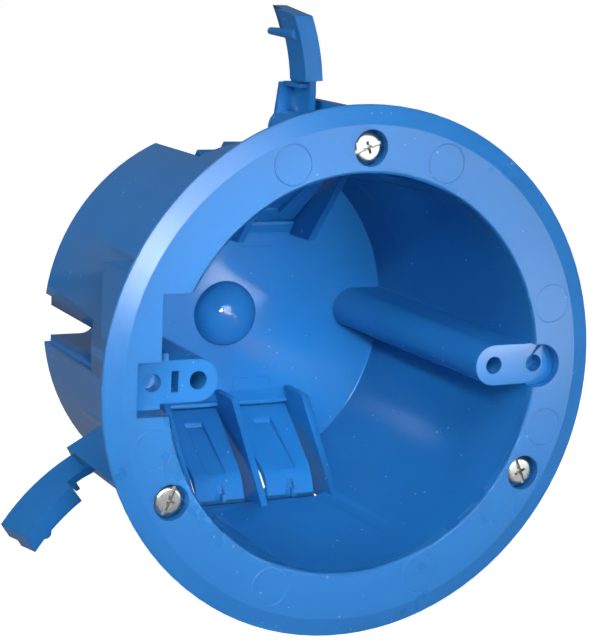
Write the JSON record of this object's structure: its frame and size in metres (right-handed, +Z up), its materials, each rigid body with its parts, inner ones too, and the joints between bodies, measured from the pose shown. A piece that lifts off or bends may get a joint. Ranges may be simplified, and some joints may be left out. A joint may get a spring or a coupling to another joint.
{
  "type": "electrical junction box",
  "caption": "Round old-work electrical box with a broad flange, device screw posts, flexing cable clamps and screw-driven swing clamps that grip the back of a wall panel.",
  "frame": {"origin": "centre of the round wall opening, in the plane of the flange's rear face, which is the face of the wall", "axes": "-Y out of the wall into the room, +Y into the wall along the cup, +Z up through the top clamp screw, +X right as seen from the room"},
  "size_m": [0.1316, 0.0737, 0.1322],
  "materials": {
    "blue_moulding": "semi-gloss injection moulded blue PVC with fine dust specks and ejector pin marks",
    "zinc_plate": "bright zinc plated steel screws"
  },
  "bodies": {
    "box": {"box_body": "blue_moulding"},
    "tongue_top_left": {"cable_clamp_top_left": "blue_moulding"},
    "tongue_top_right": {"cable_clamp_top_right": "blue_moulding"},
    "tongue_bottom_left": {"cable_clamp_bottom_left": "blue_moulding"},
    "tongue_bottom_right": {"cable_clamp_bottom_right": "blue_moulding"},
    "screw_top": {"clamp_screw_top": "zinc_plate"},
    "clamp_top": {"swing_clamp_top": "blue_moulding"},
    "screw_lower_left": {"clamp_screw_lower_left": "zinc_plate"},
    "clamp_lower_left": {"swing_clamp_lower_left": "blue_moulding"},
    "screw_lower_right": {"clamp_screw_lower_right": "zinc_plate"},
    "clamp_lower_right": {"swing_clamp_lower_right": "blue_moulding"}
  },
  "joints": [
    {"name": "tongue_flex_top_left", "type": "hinge", "parent": "box", "child": "tongue_top_left", "pos_m": [-0.00975, 0.0676, 0.0239], "axis": [1, 0, 0], "range_deg": [0, 18], "stiffness_Nm_per_rad": 0.3},
    {"name": "tongue_flex_top_right", "type": "hinge", "parent": "box", "child": "tongue_top_right", "pos_m": [0.00825, 0.0676, 0.0239], "axis": [1, 0, 0], "range_deg": [0, 18], "stiffness_Nm_per_rad": 0.3},
    {"name": "tongue_flex_bottom_left", "type": "hinge", "parent": "box", "child": "tongue_bottom_left", "pos_m": [-0.00975, 0.0676, -0.0239], "axis": [-1, 0, 0], "range_deg": [0, 18], "stiffness_Nm_per_rad": 0.3},
    {"name": "tongue_flex_bottom_right", "type": "hinge", "parent": "box", "child": "tongue_bottom_right", "pos_m": [0.00825, 0.0676, -0.0239], "axis": [-1, 0, 0], "range_deg": [0, 18], "stiffness_Nm_per_rad": 0.3},
    {"name": "clamp_swing_top", "type": "hinge", "parent": "box", "child": "screw_top", "pos_m": [0, 0, 0.0482], "axis": [0, -1, 0], "range_deg": [0, 90]},
    {"name": "clamp_travel_top", "type": "slide", "parent": "screw_top", "child": "clamp_top", "axis": [0, -1, 0], "range_m": [0, 0.021]},
    {"name": "clamp_swing_lower_left", "type": "hinge", "parent": "box", "child": "screw_lower_left", "pos_m": [-0.04195, 0, -0.02373], "axis": [0, -1, 0], "range_deg": [-2, 88]},
    {"name": "clamp_travel_lower_left", "type": "slide", "parent": "screw_lower_left", "child": "clamp_lower_left", "axis": [0, -1, 0], "range_m": [0, 0.021]},
    {"name": "clamp_swing_lower_right", "type": "hinge", "parent": "box", "child": "screw_lower_right", "pos_m": [0.04174, 0, -0.0241], "axis": [0, -1, 0], "range_deg": [0, 90]},
    {"name": "clamp_travel_lower_right", "type": "slide", "parent": "screw_lower_right", "child": "clamp_lower_right", "axis": [0, -1, 0], "range_m": [0, 0.021]}
  ]
}
